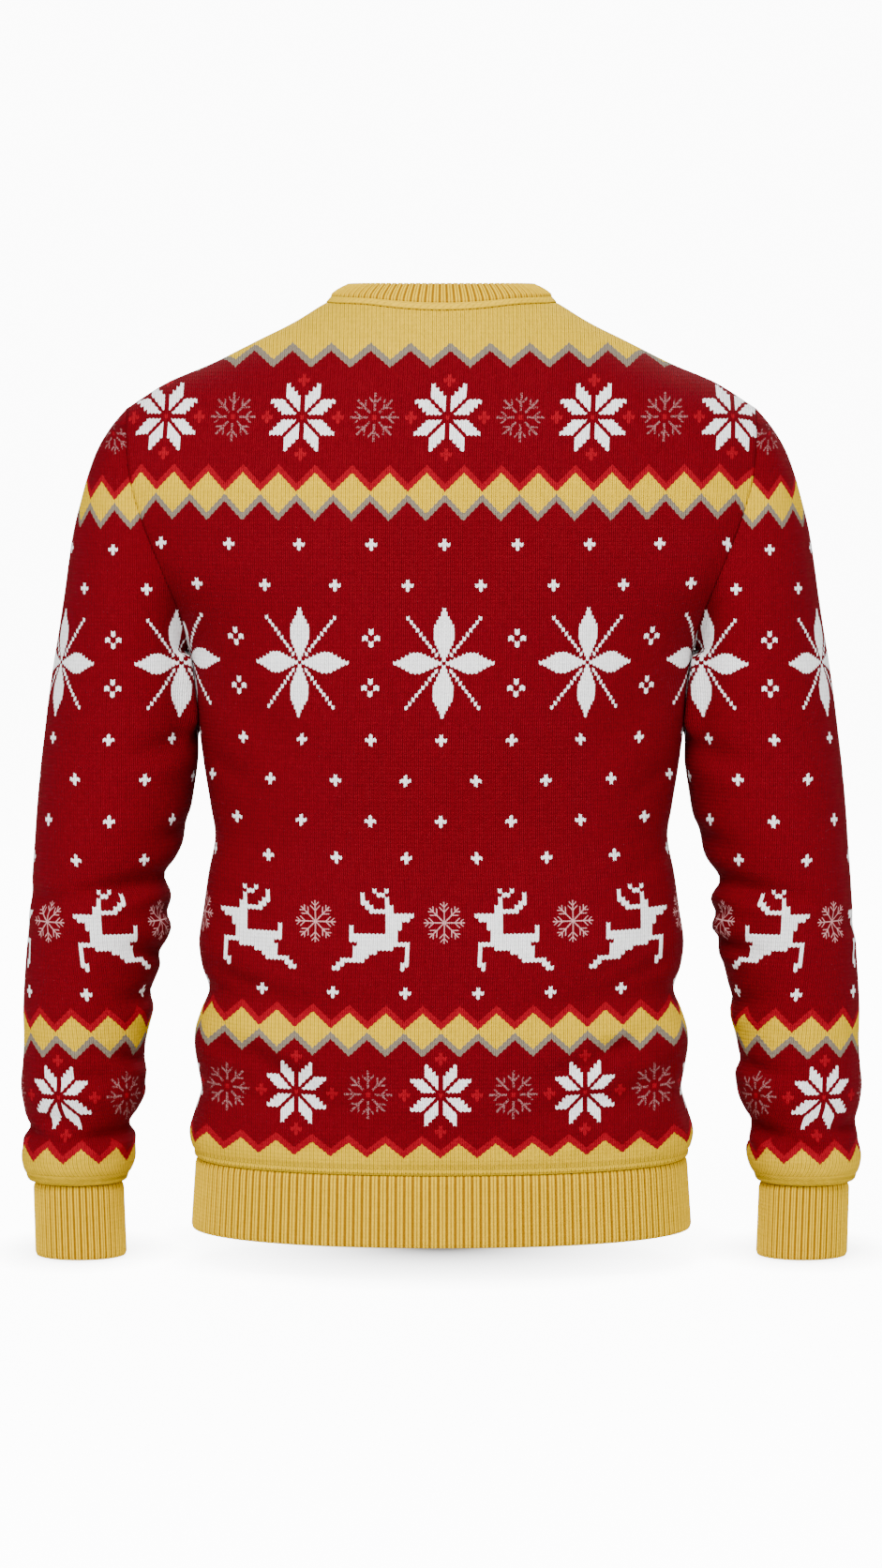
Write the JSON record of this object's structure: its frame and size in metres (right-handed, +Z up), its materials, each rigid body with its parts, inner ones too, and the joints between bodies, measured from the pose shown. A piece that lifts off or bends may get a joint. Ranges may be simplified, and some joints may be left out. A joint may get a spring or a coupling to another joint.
{
  "type": "christmas sweater",
  "caption": "Long-sleeved crew-neck knitted pullover with winter colourwork bands and ribbed neck, hem and cuffs, filled out as if worn.",
  "frame": {"origin": "middle of the neck hole, level with the back neck seam, where the wearer's neck and shoulders hold the garment up", "axes": "+Z up along the wearer; the front faces -Y and the back +Y; the wearer's left is +X"},
  "size_m": [0.6504, 0.2601, 0.7492],
  "materials": {
    "patterned_knit": "matt stocking-stitch knit with colourwork",
    "yellow_rib": "matt ribbed knit"
  },
  "bodies": {
    "root": {"back": "patterned_knit", "front": "patterned_knit", "left_sleeve": "patterned_knit", "right_sleeve": "patterned_knit", "neck_rib": "yellow_rib", "hem_rib": "yellow_rib", "left_cuff": "yellow_rib", "right_cuff": "yellow_rib"}
  },
  "joints": []
}
